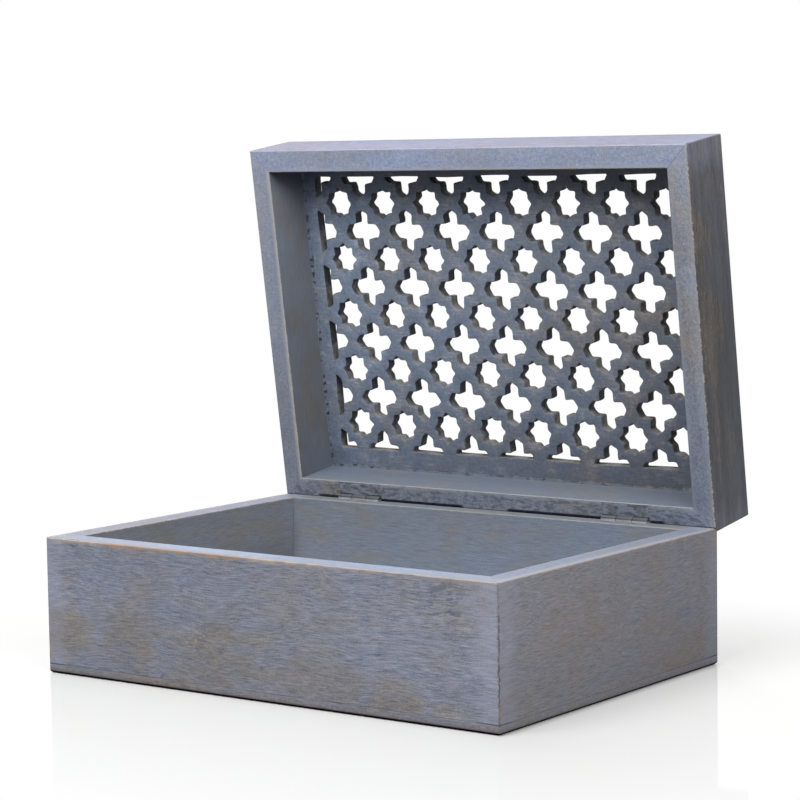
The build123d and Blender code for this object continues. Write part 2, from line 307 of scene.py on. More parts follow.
    # Arrises rubbed through to the wood, in broken lines
    worn = 0.0
    inner_reach = 0.3 + 0.3 * inner_edge
    for distance, reach, amount in ((rim_outer, 0.5, edge), (rim_inner, inner_reach, inner_edge),
                                    (far_outer, 0.5, 0.5 * edge if turned else 0.0)):
        frayed = node("Math", [distance, ragged], **PLUS)
        line = node("MapRange", {0: frayed, 1: reach, 2: reach - 0.3, 4: amount}, **SMOOTH)
        worn = node("Math", [worn, line], **LARGER)
    rusty_spots = near_spots(orange_spots)
    rusty = node("Math", [cloud, orange - 0.5], **PLUS)
    rusty = node("Math", [rusty, rusty_spots], **PLUS)
    rusty = node("MapRange", [rusty, 0.3, 0.7], **SMOOTH)
    bared = node("Mix", {0: rusty, 6: WORN_CREAM, 7: WORN_ORANGE}, **COLOUR)
    if rubbed[1]:
        below = node("Math", [ragged, 0.7, rim_outer], **TIMES_PLUS)
        below = node("MapRange", {0: below, 1: 2.6, 2: 0.5, 4: rubbed[1]}, **SMOOTH)
        below = node("Math", [below, face], **TIMES)
        worn = node("Math", [worn, below], **LARGER)
    patchy = node("MapRange", [strokes, 0.38, 0.56, 0.4, 1.0], **SMOOTH)
    for share in (patchy, less_worn):
        worn = node("Math", [worn, share], **TIMES)
    colour = node("Mix", {0: worn, 6: colour, 7: bared}, **COLOUR)

    # The upright corners are chipped as well, more so towards the foot, and some are orange
    flaked = node("Math", [corner, ragged], **PLUS)
    flaked = node("MapRange", {0: flaked, 1: 0.85, 2: 0.5, 4: corner_wear}, **SMOOTH)
    low_down = node("MapRange", [off_rim, 2.0, 16.0, 0.4, 1.0], **SMOOTH)
    dashed = node("MapRange", [strokes, 0.42, 0.56, 0.4, 1.0], **SMOOTH)
    for share in (low_down, dashed):
        flaked = node("Math", [flaked, share], **TIMES)
    chip_dark = node("MapRange", [speck, 0.3, 0.42], **SMOOTH)
    chip = node("Mix", {0: chip_dark, 6: bared, 7: "#453e3c"}, **COLOUR)
    colour = node("Mix", {0: flaked, 6: colour, 7: chip}, **COLOUR)
    scuffed = node("MapRange", [hairs, 0.4, 0.62, 0.2, 0.6], **SMOOTH)
    by_corner = node("MapRange", [corner, 7.0, 1.0], **SMOOTH)
    for share in (rusty_spots, by_corner):
        scuffed = node("Math", [scuffed, share], **TIMES)
    colour = node("Mix", {0: scuffed, 6: colour, 7: WORN_ORANGE}, **COLOUR)

    # Glue lines of the mitre and of the bottom board, in broken dashes, a stained foot, and painted
    # shade along the foot
    broken = node("MapRange", {0: speck, 1: 0.42, 2: 0.6, 4: 0.3}, **SMOOTH)
    mitre_line = node("MapRange", [off_mitre, 0.35, 0.1], **SMOOTH)
    mitre_line = node("Math", [mitre_line, broken], **TIMES)
    seam_line = node("MapRange", [off_seam, 0.5, 0.15], **SMOOTH)
    seam_end = node("MapRange", [corner, 14.0, 5.0, 0.06, 0.6], **SMOOTH)
    seam_line = node("Math", [seam_line, seam_end], **TIMES)
    lines = node("Math", [mitre_line, seam_line], **LARGER)
    lines = node("Math", [lines, outdoors], **TIMES)
    colour = node("Mix", {0: lines, 6: colour, 7: "#2a2826"}, **COLOUR)
    painted_shade = 0.0
    if not turned:
        stained = node("Math", [ragged, 2.0, far_outer], **TIMES_PLUS)
        stained = node("MapRange", {0: stained, 1: 3.4, 2: 1.4, 4: 0.55}, **SMOOTH)
        colour = node("Mix", {0: stained, 6: colour, 7: "#625048"}, **COLOUR)
        # A dark line of painted shade along the lower arris, where the foot meets the table
        painted_shade = node("MapRange", [far_outer, 1.7, 0.9], **SMOOTH)

    # Painted shadow in the joint line beside the hinges
    for start, stop, share in gaps:
        beside = node("SeparateXYZ", [place], out="X")
        beside = node("Math", [beside, -(start + stop) / 2], **PLUS)
        beside = node("Math", [beside], **UNSIGNED)
        half = (stop - start) / 2
        beside = node("MapRange", {0: beside, 1: half + 1.5, 2: half - 1.5, 4: share}, **SMOOTH)
        shadowed = node("MapRange", [rim_outer, 3.7, 3.1], **SMOOTH)
        shadowed = node("Math", [shadowed, beside], **TIMES)
        painted_shade = node("Math", [painted_shade, shadowed], **LARGER)
    colour = node("Mix", {0: painted_shade, 6: colour, 7: "#171a2a"}, **COLOUR)

    gloss = node("MapRange", [streaks, 0.3, 0.7, 0.5, 0.6], **SMOOTH)
    gloss = node("Math", [worn, 0.1, gloss], **TIMES_PLUS)
    height = node("Math", [worn, -0.8, height], **TIMES_PLUS)
    bump = node("Bump", {"Strength": 0.5, "Distance": 0.12 * MM, "Height": height})
    mirrored = 0.4 if turned and not gaps else node("MapRange", {0: painted_shade, 3: 0.4, 4: 0.0})
    skin = node("BsdfPrincipled", {"Base Color": colour, "Roughness": gloss, "IOR": 1.48,
                                   "Normal": bump, "Specular IOR Level": mirrored})
    node("OutputMaterial", [skin])
    dress(board, material)


ALONG_X = 0
ALONG_Y = 1
base_case = dict(thick=WALL_MM, rim=BASE_RIM_MM, far=0.0)
wash("front_wall", ALONG_X, 1, corner_wear=0.8, orange=0.15, rubbed=(0.7, 1.0, 0.0),
     rub="#8d8983", edge=1.0,
     uneven=(("outside", 0, -10, 110, 0.95, 1.06), ("outside", 0, -125, -80, 1.12, 1.0),
             ("arrises", 0, 5, 75, 1.0, 0.4), ("rims", 0, -125, -55, 0.87, 1.0),
             ("outside", 2, 44, 63, 1.0, 0.92), ("outside", 2, 26, 4, 1.0, 0.94)),
     bare_spots=((-112, -89, 18, 24, 0.8), (-72, -89, 18, 30, 0.6), (-30, -89, 14, 34, 0.6),
                 (38, -89, 10, 34, 0.6), (72, -89, 4, 24, 0.9), (102, -89, 3, 18, 0.8)),
     orange_spots=((-124, -89, 11, 9, 0.9), (-50, -89, 63, 80, 0.8)),
     dark_spots=((97, -89, 52, 20, 0.7), (-108, -89, 59, 9, 0.8), (-60, -89, 3, 13, 0.8)),
     cream_spots=((108, -89, 30, 26, 0.35), (103, -89, 5, 12, 0.9), (-38, -89, 24, 14, 0.7),
                  (2, -89, 32, 10, 0.5), (52, -89, 37, 16, 0.4), (37, -89, 57, 9, 0.5)),
     **base_case)
# The back wall's top is painted darker than the other tops, as painted shade
wash("back_wall", ALONG_X, 2, inside=("#707b8c", "#75787c"), rims=("#6f767d", "#757777"),
     uneven=(("inside", 2, 24, 63, 1.1, 0.92),), cream_spots=((60, 89, 20, 24, 0.3),),
     **base_case)
wash("left_wall", ALONG_Y, 3, outside=("#7e8599", "#7f7e7f"), inside=("#777d89", "#7d7b7b"),
     rims=("#7e8193", "#82808a"), corner_wear=0.6, inner_edge=0.8,
     uneven=(("inside", 2, 36, 50, 0.82, 1.0),), bare_spots=((-125, 20, 20, 40, 0.6),),
     orange_spots=((-124, -89, 11, 9, 0.9),), **base_case)
wash("right_wall", ALONG_Y, 4, outside=("#81838e", "#847f7f"), rims=("#7c8599", "#80838c"),
     contrast=0.8, waver=1.8, corner_wear=0.8, edge=0.5, rubbed=(0.8, 0.3, 0.3),
     uneven=(("outside", 1, -89, 60, 1.08, 0.88), ("outside", 2, 0, 40, 0.8, 1.02),
             ("rims", 1, -89, 89, 1.05, 0.86)),
     bare_spots=((125, -40, 30, 40, 0.4), (125, 60, 8, 34, 0.5)),
     orange_spots=((125, 86, 61, 12, 0.9), (125, -88, 9, 9, 0.6)), **base_case)


# The bottom board
# One thin board of the same wood, flush with the walls and tacked on from below.
# It was washed together with them, so the wash runs on over the fine seam.

wash("bottom_board", ALONG_X, 5, outside=("#7f8391", "#7f7d7e"), ends=0.2, contrast=0.8,
     uneven=(("outside", 1, -89, 60, 0.94, 0.74),), bare_spots=((-60, -89, 2, 40, 0.5),),
     **base_case)


# The four rails of the lid
# The same wood, 11 mm thick and 32 mm high, mitred, glued and rebated for the panel.
# The rim was flattened with coarse paper, which left it mottled and its inner arris pale.

RAIL_MM = (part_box("lid_left_rail")[1].x + BOARD_TOP.x) / MM
AXIS = Vector(HINGE["pos_m"])
TO_OPEN = Matrix.Translation(AXIS) @ Matrix.Rotation(-OPENED, 4, "X") @ Matrix.Translation(-AXIS)
TO_SHUT = TO_OPEN.inverted()
shut_levels = [(TO_SHUT @ v.co).z / MM for v in nodes["lid_left_rail"].data.vertices]
LID_RIM_MM = min(shut_levels)
LID_TOP_MM = max(shut_levels)

lid_case = dict(thick=RAIL_MM, rim=LID_RIM_MM, far=LID_TOP_MM, turned=True, ends=0.2)
# The front rail's inside is painted near black: painted shade under that rail as the lid stands
# open
wash("lid_front_rail", ALONG_X, 6, outside=("#84879f", "#868597"), inside=("#272324", "#261f1e"),
     rims=("#848faa", "#848a99"), contrast=0.9, rim_contrast=0.62, edge=0.55, inner_edge=0.9,
     rubbed=(0.15, 0.0, 0.5), uneven=(("outside", 0, -125, 125, 1.02, 0.88),), **lid_case)
wash("lid_back_rail", ALONG_X, 7, outside=("#7b8294", "#7d7a7c"), inside=("#626c7b", "#686c72"),
     rims=("#6c7687", "#6d7179"), chewed_rim=True, contrast=0.8, rim_contrast=0.7, edge=0.5,
     inner_edge=0.35, rubbed=(0.0, 0.0, 0.6),
     gaps=((-104, -91, 0.9), (-66, -15, 0.97), (11, 65, 0.97), (90, 98, 0.9)),
     uneven=(("inside", 2, 64, 84, 1.12, 1.0), ("inside", 0, 70, 108, 1.0, 0.84)),
     bare_spots=((-95, 84, 64, 12, 1.0),), **lid_case)
# Its inside is painted much darker next to the front rail: painted shadow of that rail
wash("lid_left_rail", ALONG_Y, 8, outside=("#7b8294", "#7d7a7c"), inside=("#6d7684", "#6b6968"),
     rims=("#7c8496", "#7f838e"), contrast=0.6, rim_contrast=0.62, banding=1.0, edge=0.35,
     inner_edge=0.7, rubbed=(0.1, 0.0, 1.0),
     uneven=(("rims", 1, 0, 89, 0.98, 0.7), ("inside", 1, -60, 0, 1.3, 0.98),
             ("inside", 1, 0, 89, 1.0, 0.78), ("inside", 1, -89, -66, 0.25, 1.0)),
     bare_spots=((-114, 0, 70, 14, 0.4),), **lid_case)
wash("lid_right_rail", ALONG_Y, 9, outside=("#474c57", "#494442"), inside=("#6b7381", "#6f6e70"),
     rims=("#727b8d", "#757a84"), contrast=0.9, rim_contrast=0.78, banding=2.0, edge=0.8,
     rubbed=(0.2, 0.0, 0.2),
     uneven=(("rims", 1, -89, -60, 1.08, 0.98), ("rims", 1, 40, 89, 1.0, 0.86),
             ("outside", 1, -89, 0, 1.22, 0.64), ("outside", 1, 25, 89, 1.0, 1.25)),
     bare_spots=((125, 0, 66, 34, 0.8), (125, -45, 66, 24, 0.7)), **lid_case)


# The lattice panel
# A 5.5 mm board pierced by hand with a fretsaw: rows of stars, with crosses between them.
# It lies in the rails' rebate. The saw left rough walls that the wash hardly reached; their colour
# holds painted shade, near black high in each hole, and painted light lower down.

PANEL_THICK_MM = 5.5
PANEL_HALF_X_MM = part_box("lattice_panel")[1].x / MM
PANEL_HALF_Y_MM = CASE_HALF_Y_MM - (CASE_HALF_X_MM - PANEL_HALF_X_MM)
PANEL_LOW_MM = LID_TOP_MM - PANEL_THICK_MM
OPENING_X_MM = CASE_HALF_X_MM - RAIL_MM
OPENING_Y_MM = CASE_HALF_Y_MM - RAIL_MM
STAR_COLUMNS = 8
STAR_ROWS = 5
PITCH_X_MM = 27.0
PITCH_Y_MM = 28.3
STAR_RADIUS_MM = 8.0
CROSS_X_MM = 10.8
CROSS_Y_MM = 11.0
CROSS_ARM_MM = 3.8
CROSS_POINT_MM = 2.3
PATTERN_SHIFT_MM = Vector((1.3, -1.6))
HALF_CROSS_TRIM_MM = 0.85
SAW_WANDER_MM = 0.27
SIDE_BOW = 0.35
SAW_ROUGH_MM = 0.12
CORNER_ROUND_MM = 1.0
ROUNDED_AT_MOST = 0.42
SHORTEST_SIDE_MM = 0.5
HOLE_ARRIS_MM = 0.42
ARRIS_PROFILE = ((0.0, 1.0), (0.13, 0.5), (0.5, 0.13), (1.0, 0.0))
LATTICE_SMOOTH_DEG = 40
FOUR_CORNERS = ((-1, -1), (1, -1), (1, 1), (-1, 1))
hand = random.Random(41)
scene = bpy.context.scene


def star_corners():
    """The corners of a star made of two squares laid across each other."""
    inner = STAR_RADIUS_MM * math.cos(math.pi / 4) / math.cos(math.pi / 8)
    reach = [STAR_RADIUS_MM, inner] * 8
    turns = [step * math.pi / 8 for step in range(16)]
    return [Vector((r * math.cos(t), r * math.sin(t))) for r, t in zip(reach, turns)]


def cross_corners():
    """The corners of a cross whose four arms end in blunt points."""
    corners = []
    for quarter in range(4):
        length = CROSS_X_MM if quarter % 2 == 0 else CROSS_Y_MM
        arm = [(CROSS_ARM_MM, -CROSS_ARM_MM), (length - CROSS_POINT_MM, -CROSS_ARM_MM),
               (length, 0.0), (length - CROSS_POINT_MM, CROSS_ARM_MM)]
        turn = Matrix.Rotation(quarter * math.pi / 2, 2)
        corners += [turn @ Vector(corner) for corner in arm]
    return corners


def clipped(corners, axis, limit, side):
    """The part of an outline on the inner side of a straight line of the pattern's edge."""
    kept = []
    for index, here in enumerate(corners):
        before = corners[index - 1]
        here_in = side * here[axis] <= side * limit
        before_in = side * before[axis] <= side * limit
        if here_in != before_in:
            share = (limit - before[axis]) / (here[axis] - before[axis])
            kept.append(before.lerp(here, share))
        if here_in:
            kept.append(here)
    return [c for i, c in enumerate(kept) if (c - kept[i - 1]).length > SHORTEST_SIDE_MM]


def sawn_line(corners, steps=3):
    """A closed outline as a hand saw cuts it: corners rounded, sides a little off straight."""
    loose = [c + Vector((hand.gauss(0, 1), hand.gauss(0, 1))) * SAW_WANDER_MM for c in corners]
    line = []
    for index, here in enumerate(loose):
        to_before = loose[index - 1] - here
        to_after = loose[(index + 1) % len(loose)] - here
        cut = min(CORNER_ROUND_MM, ROUNDED_AT_MOST * to_before.length,
                  ROUNDED_AT_MOST * to_after.length)
        start = here + to_before.normalized() * cut
        end = here + to_after.normalized() * cut
        for step in range(steps + 1):
            t = step / steps
            line.append(start.lerp(here, t).lerp(here.lerp(end, t), t))
        bow = hand.gauss(0, SIDE_BOW) * SAW_WANDER_MM
        line.append(here + to_after / 2 + to_after.normalized().orthogonal() * bow)
    return line


def spread(line, by):
    """A closed counter-clockwise outline moved outwards by a distance at each point."""
    moved = []
    for index, here in enumerate(line):
        along = line[(index + 1) % len(line)] - line[index - 1]
        moved.append(here + Vector((along.y, -along.x)).normalized() * by)
    return moved


def pattern_holes():
    """Outlines of all stars and crosses; crosses on the border are cut off straight."""
    field_x = STAR_COLUMNS * PITCH_X_MM / 2
    field_y = STAR_ROWS * PITCH_Y_MM / 2
    found = []
    for column in range(STAR_COLUMNS):
        for row in range(STAR_ROWS):
            at = Vector(((column + 0.5) * PITCH_X_MM - field_x, (row + 0.5) * PITCH_Y_MM - field_y))
            found.append([at + corner for corner in star_corners()])
    for column in range(STAR_COLUMNS + 1):
        for row in range(STAR_ROWS + 1):
            at = Vector((column * PITCH_X_MM - field_x, row * PITCH_Y_MM - field_y))
            cross = [at + corner for corner in cross_corners()]
            for axis, limit in ((0, field_x), (1, field_y - HALF_CROSS_TRIM_MM)):
                for side in (-1, 1):
                    cross = clipped(cross, axis, side * limit, side)
            found.append(cross)
    return [[PATTERN_SHIFT_MM + corner for corner in outline] for outline in found]


def inside_outline(point, outline):
    """Whether a point lies inside a closed outline."""
    odd = False
    for index, here in enumerate(outline):
        before = outline[index - 1]
        if (here.y > point.y) != (before.y > point.y):
            cut = (before.x - here.x) * (point.y - here.y) / (before.y - here.y) + here.x
            odd = odd != (point.x < cut)
    return odd


def sheet_faces(loops):
    """Triangles between an outer outline and the holes in it, as indices into all points."""
    points, edges, owner = [], [], []
    for number, loop in enumerate(loops):
        first = len(points)
        points += loop
        owner += [number] * len(loop)
        edges += [(first + i, first + (i + 1) % len(loop)) for i in range(len(loop))]
    inside_only, tolerance = 1, 1e-5
    _, _, found, origins, *_ = delaunay_2d_cdt(points, edges, [], inside_only, tolerance)
    source = [ids[0] for ids in origins]
    triangles = []
    for face in found:
        corners = [source[v] for v in face]
        owners = {owner[v] for v in corners}
        middle = sum((points[v] for v in corners), Vector((0, 0))) / 3
        number = owners.pop()
        in_hole = not owners and number and inside_outline(middle, loops[number])
        if not in_hole:
            triangles.append(corners)
    return triangles


def mesh_piece(name, points, faces, material, smooth_below=None, matrix=None, low=()):
    """A mesh object from points in millimetres, shaded smooth over bends of fewer degrees.

    low is how low each point lies in its hole, which the finish of the saw cuts reads for its
    painted light and shade.
    """
    data = bpy.data.meshes.new(name)
    data.from_pydata([Vector(p) * MM for p in points], [], faces)
    data.materials.append(material)
    data.validate()
    if smooth_below:
        data.shade_smooth()
        data.set_sharp_from_angle(angle=math.radians(smooth_below))
    data.update()
    if low:
        data.attributes.new("low_in_hole", "FLOAT", "POINT").data.foreach_set("value", low)
    piece = bpy.data.objects.new(name, data)
    scene.collection.objects.link(piece)
    if matrix:
        piece.matrix_world = matrix
    return piece


def fretted_board(name, thick_film="#6d788a", thin_film="#6c6e75", pits=0.0, flecks=1.0):
    """Sawn and washed hardwood: mottled blue-grey on the faces, brown and rough in the saw cuts,
    which carry painted shade high in each hole and painted light low in it.

    pits is how dark the pinholes in the film are, and flecks how much bare wood and pale film
    shows in it. The mesh brings low_in_hole, low as the lid stands open.
    """
    material, node, place = empty_material(name)
    across, behind, level = [node("SeparateXYZ", [place], out=axis) for axis in "XYZ"]
    facing = node("SeparateXYZ", [node("TexCoord", {}, out="Normal")], out="Z")
    facing = node("Math", [facing], **UNSIGNED)
    wall = node("MapRange", [facing, 0.75, 0.2], **SMOOTH)
    streaks, dashes, teeth = [
        node("TexNoise", {"Vector": node("VectorMath", [place, stretch], **TIMES),
                          "Scale": 1.0, "Detail": detail, "Distortion": bent})
        for stretch, detail, bent in (((1 / 8, 1 / 0.9, 1 / 0.9), 3.0, 0.3),
                                      ((1 / 5, 1 / 2, 1 / 2), 2.0, 0.0),
                                      ((1 / 0.5, 1 / 0.5, 1 / 4), 2.0, 0.0))]
    blotch, cloud, speck, ragged = [
        node("TexNoise", {"Vector": place, "Scale": 1 / wide, "Detail": detail,
                          "Roughness": rough})
        for wide, detail, rough in ((8, 4.0, 0.6), (34, 2.0, 0.5), (1.5, 3.0, 0.5),
                                    (3.5, 3.0, 0.5))]

    # The film, bluer where it lies thick, with specks of bare wood and of pale film
    strip = node("MapRange", [behind, OPENING_Y_MM - 14, OPENING_Y_MM - 8], **SMOOTH)
    brown = 0.0
    for pattern, amount in ((blotch, 0.6), (cloud, 0.4), (across, 0.0006), (strip, -0.04)):
        brown = node("Math", [pattern, amount, brown], **TIMES_PLUS)
    tint = node("MapRange", [brown, 0.38, 0.64], **SMOOTH)
    colour = node("Mix", {0: tint, 6: thick_film, 7: thin_film}, **COLOUR)
    bare = node("Math", [speck, 0.3, brown], **TIMES_PLUS)
    bare = node("MapRange", {0: bare, 1: 0.7, 2: 0.86, 4: 0.45 * flecks}, **SMOOTH)
    colour = node("Mix", {0: bare, 6: colour, 7: "#807264"}, **COLOUR)
    pale = node("Math", [streaks, 0.5, blotch], **TIMES_PLUS)
    pale = node("MapRange", {0: pale, 1: 0.76, 2: 0.98, 4: 0.5 * flecks}, **SMOOTH)
    colour = node("Mix", {0: pale, 6: colour, 7: "#8a92a2"}, **COLOUR)

    # The panel runs darker towards its right-hand side and next to the back rail. On its inner
    # face, painted light and shade make it lighter towards the front rail and darker towards the
    # hinges
    indoors = node("MapRange", [level, PANEL_LOW_MM + 4, PANEL_LOW_MM + 1], **SMOOTH)
    painted_light_run = node("MapRange", [behind, -PANEL_HALF_Y_MM, PANEL_HALF_Y_MM,
                               0.27, -0.24])
    painted_light_run = node("Math", [painted_light_run, indoors], **TIMES)
    dry = node("MapRange", [across, -PANEL_HALF_X_MM, PANEL_HALF_X_MM, 1.1, 0.84])
    dry = node("Math", [dry, painted_light_run], **PLUS)
    dry = node("Math", [strip, -0.14, dry], **TIMES_PLUS)
    colour = node("Mix", {0: 1.0, 6: colour, 7: dry}, **SHADED)
    # Painted shadow of the front rail along that edge of the inner face
    rail_shadow = node("MapRange", {0: behind, 1: 17 - OPENING_Y_MM, 2: -OPENING_Y_MM, 4: 0.6}, **SMOOTH)
    rail_shadow = node("Math", [rail_shadow, indoors], **TIMES)
    colour = node("Mix", {0: rail_shadow, 6: colour, 7: "#201e20"}, **COLOUR)

    # The saw cuts: painted shade, near black high in each hole, and painted light, lighter low in
    # each hole, where the light falls in
    lit = node("Attribute", {}, out="Fac", attribute_name="low_in_hole")
    lit = node("Math", [ragged, 1.6, lit], **TIMES_PLUS)
    lit = node("MapRange", [lit, 1.1, 1.75], **SMOOTH)
    sawn = node("Mix", {0: lit, 6: "#151518", 7: "#74716d"}, **COLOUR)
    sawn_share = node("Math", [wall, 0.85], **TIMES)
    colour = node("Mix", {0: sawn_share, 6: colour, 7: sawn}, **COLOUR)
    shade = 0.0
    for pattern, amount in ((speck, 0.8), (streaks, 0.3), (blotch, 0.9)):
        shade = node("Math", [pattern, amount, shade], **TIMES_PLUS)
    colour = node("Mix", {0: 1.0, 6: colour, 7: shade}, **SHADED)
    pinholes = node("MapRange", {0: dashes, 1: 0.53, 2: 0.61, 4: pits}, **SMOOTH)
    colour = node("Mix", {0: pinholes, 6: colour, 7: "#1d1f25"}, **COLOUR)

    teeth = node("Math", [teeth, wall], **TIMES)
    height = node("Math", [teeth, 2.0, streaks], **TIMES_PLUS)
    height = node("Math", [speck, 0.6, height], **TIMES_PLUS)
    bump = node("Bump", {"Strength": 0.5, "Distance": 0.2 * MM, "Height": height})
    gloss = node("MapRange", {0: wall, 3: 0.55, 4: 0.8})
    skin = node("BsdfPrincipled", {"Base Color": colour, "Roughness": gloss, "IOR": 1.48,
                                   "Normal": bump, "Specular IOR Level": 0.35})
    node("OutputMaterial", [skin])
    return material


rim_line = [Vector((sx * PANEL_HALF_X_MM, sy * PANEL_HALF_Y_MM)) for sx, sy in FOUR_CORNERS]
hole_lines = [sawn_line(outline) for outline in pattern_holes()]
inner_arris = [(PANEL_LOW_MM + up * HOLE_ARRIS_MM, out * HOLE_ARRIS_MM)
               for up, out in ARRIS_PROFILE]
outer_arris = [(LID_TOP_MM - down * HOLE_ARRIS_MM, out * HOLE_ARRIS_MM)
               for down, out in reversed(ARRIS_PROFILE)]
hole_wall = inner_arris + [(PANEL_LOW_MM + PANEL_THICK_MM / 2, 0.0)] + outer_arris
points, faces, low_shares = [], [], []
outlines = [[] for _ in hole_wall]
numbers = [[] for _ in hole_wall]
for line in [rim_line] + hole_lines:
    lowest = min(p.y for p in line)
    tall = max(p.y for p in line) - lowest
    rings = []
    for place, (height, out) in enumerate(hole_wall):
        ring = spread(line, 0.0 if line is rim_line else out)
        if place == len(inner_arris) and line is not rim_line:
            ring = [p + Vector((hand.gauss(0, SAW_ROUGH_MM), hand.gauss(0, SAW_ROUGH_MM)))
                    for p in ring]
        rings.append(range(len(points), len(points) + len(ring)))
        outlines[place].append(ring)
        numbers[place] += rings[-1]
        points += [(p.x, p.y, height) for p in ring]
        low_shares += [(p.y - lowest) / tall for p in ring]
    for lower, upper in zip(rings, rings[1:]):
        for i in range(len(line)):
            j = (i + 1) % len(line)
            quad = (lower[i], lower[j], upper[j], upper[i])
            faces.append(quad if line is rim_line else quad[::-1])
for place, order in ((0, -1), (-1, 1)):
    for triangle in sheet_faces(outlines[place]):
        faces.append([numbers[place][v] for v in triangle][::order])
lattice = mesh_piece("pierced_lattice", points, faces, fretted_board("fretted_mango"),
                     smooth_below=LATTICE_SMOOTH_DEG, matrix=TO_OPEN, low=low_shares)
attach(lattice, "lid")
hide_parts("lattice_panel")


# Glue squeezed out round the panel
# Wood glue that swelled out of the rebate joint and was painted over with the wash.
# It makes a narrow uneven fillet with small lumps.

GLUE_STEP_MM = 1.2
GLUE_WIDE_MM = 1.15
GLUE_NARROWEST = 0.35
GLUE_SWELL_MM = 14
GLUE_LUMP_MM = 2.2
GLUE_SMOOTH_DEG = 70
# Per point of the section: inwards and up in millimetres, each with a share of the width
GLUE_SECTION = ((-0.3, 0.0, 0.3, 0.0), (-0.05, 0.0, 0.0, -0.9), (0.0, 0.42, 0.0, -0.42),
                (0.0, 1.0, 0.05, 0.0))
corners = [Vector((sx * OPENING_X_MM, sy * OPENING_Y_MM)) for sx, sy in FOUR_CORNERS]
stations = []
for index, start in enumerate(corners):
    run = corners[(index + 1) % 4] - start
    inward = Vector((-run.y, run.x)).normalized()
    before = (start - corners[index - 1]).normalized()
    stations.append((start, inward + Vector((-before.y, before.x))))
    steps = int(run.length / GLUE_STEP_MM)
    stations += [(start + run * (step / steps), inward) for step in range(1, steps)]
glue_points, glue_faces = [], []
for at, inward in stations:
    slow = noise.noise(Vector((at.x, at.y, 3.1)) / GLUE_SWELL_MM)
    fast = noise.noise(Vector((at.x, at.y, 8.7)) / GLUE_LUMP_MM)
    wide = GLUE_WIDE_MM * max(GLUE_NARROWEST, 1 + 0.5 * slow + 0.55 * fast)
    for reach, reach_share, rise, rise_share in GLUE_SECTION:
        by = reach + reach_share * wide
        glue_points.append((at.x + inward.x * by, at.y + inward.y * by,
                            PANEL_LOW_MM + rise + rise_share * wide))
section = len(GLUE_SECTION)
for index in range(len(stations)):
    here = index * section
    after = (index + 1) % len(stations) * section
    for side in range(section):
        other = (side + 1) % section
        glue_faces.append((here + side, here + other, after + other, after + side))
# The glue's film is darker than the panel's: painted shade against the light on its upward face
painted_glue = fretted_board("painted_glue", "#5c6778", "#5d6067", pits=0.9, flecks=0.25)
glue = mesh_piece("panel_glue_line", glue_points, glue_faces, painted_glue,
                  smooth_below=GLUE_SMOOTH_DEG, matrix=TO_OPEN, low=[1.0] * len(glue_points))
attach(glue, "lid")


# The two butt hinges
# Pressed brass leaves with rolled knuckles on a brass pin, let into the wood.
# The wash was brushed right over them and has rubbed off here and there.

HINGE_ARRIS_MM = 0.1
KNUCKLE_MM = 2.1
KNUCKLE_GAP_MM = 0.8


def pressed_brass(name, covered, dark_film, pale_film):
    """Rolled brass under smears of wash: a dull warm metal where the film has rubbed off.

    covered is the share that is still painted. The knuckles are painted paler below and darker
    above, as painted shade, with a painted shadow line between the leaves.
    """
    material, node, place = empty_material(name)
    smear, wrinkles = [
        node("TexNoise", {"Vector": node("VectorMath", [place, stretch], **TIMES),
                          "Scale": 1.0, "Detail": 4.0})
        for stretch in ((1 / 4, 1 / 1.2, 1 / 1.2), (1 / 4, 1 / 1.5, 1 / 1.5))]
    patch = node("TexNoise", {"Vector": place, "Scale": 1 / 4, "Detail": 3.0})
    off_axis = node("VectorMath", [place, AXIS / MM], **MINUS)
    lift = node("SeparateXYZ", [off_axis], out="Z")
    off_axis = node("VectorMath", [off_axis, (0, 1, 1)], **TIMES)
    off_axis = node("VectorMath", [off_axis], out="Value", operation="LENGTH")
    knuckle = node("MapRange", [off_axis, KNUCKLE_MM + 0.3, KNUCKLE_MM], **SMOOTH)
    film = node("Math", [smear, patch], **PLUS)
    film = node("Math", [knuckle, -0.06, film], **TIMES_PLUS)
    film = node("MapRange", [film, 1.16 - covered * 0.5, 1.26 - covered * 0.5], **SMOOTH)
    metal = node("Mix", {0: patch, 6: "#64615a", 7: "#88847b"}, **COLOUR)
    wrinkled = node("MapRange", [wrinkles, 0.38, 0.56], **SMOOTH)
    paint = node("Mix", {0: wrinkled, 6: dark_film, 7: pale_film}, **COLOUR)
    # Painted shade: the knuckles' film is darker on their upper side and paler below
    upper_side = node("MapRange", [lift, 0.4, 0.9], **SMOOTH)
    rolled = node("Mix", {0: upper_side, 6: "#85888f", 7: "#45484d"}, **COLOUR)
    paint = node("Mix", {0: knuckle, 6: paint, 7: rolled}, **COLOUR)
    colour = node("Mix", {0: film, 6: metal, 7: paint}, **COLOUR)
    # A painted shadow line where the leaves meet
    groove_shadow = node("Math", [lift, -KNUCKLE_GAP_MM], **PLUS)
    groove_shadow = node("Math", [groove_shadow], **UNSIGNED)
    groove_shadow = node("MapRange", [groove_shadow, 0.2, 0.5, 0.25, 1.0], **SMOOTH)
    colour = node("Mix", {0: knuckle, 6: colour, 7: groove_shadow}, **SHADED)
    metallic = node("MapRange", {0: film, 3: 0.5, 4: 0.0})
    gloss = node("MapRange", {0: film, 3: 0.5, 4: 0.65})
    height = node("Math", [film, 0.5, wrinkles], **TIMES_PLUS)
    height = node("Math", [wrinkles, 2.0, height], **TIMES_PLUS)
    bump = node("Bump", {"Strength": 0.6, "Distance": 0.2 * MM, "Height": height})
    skin = node("BsdfPrincipled", {"Base Color": colour, "Metallic": metallic, "Roughness": gloss,
                                   "Normal": bump})
    node("OutputMaterial", [skin])
    return material


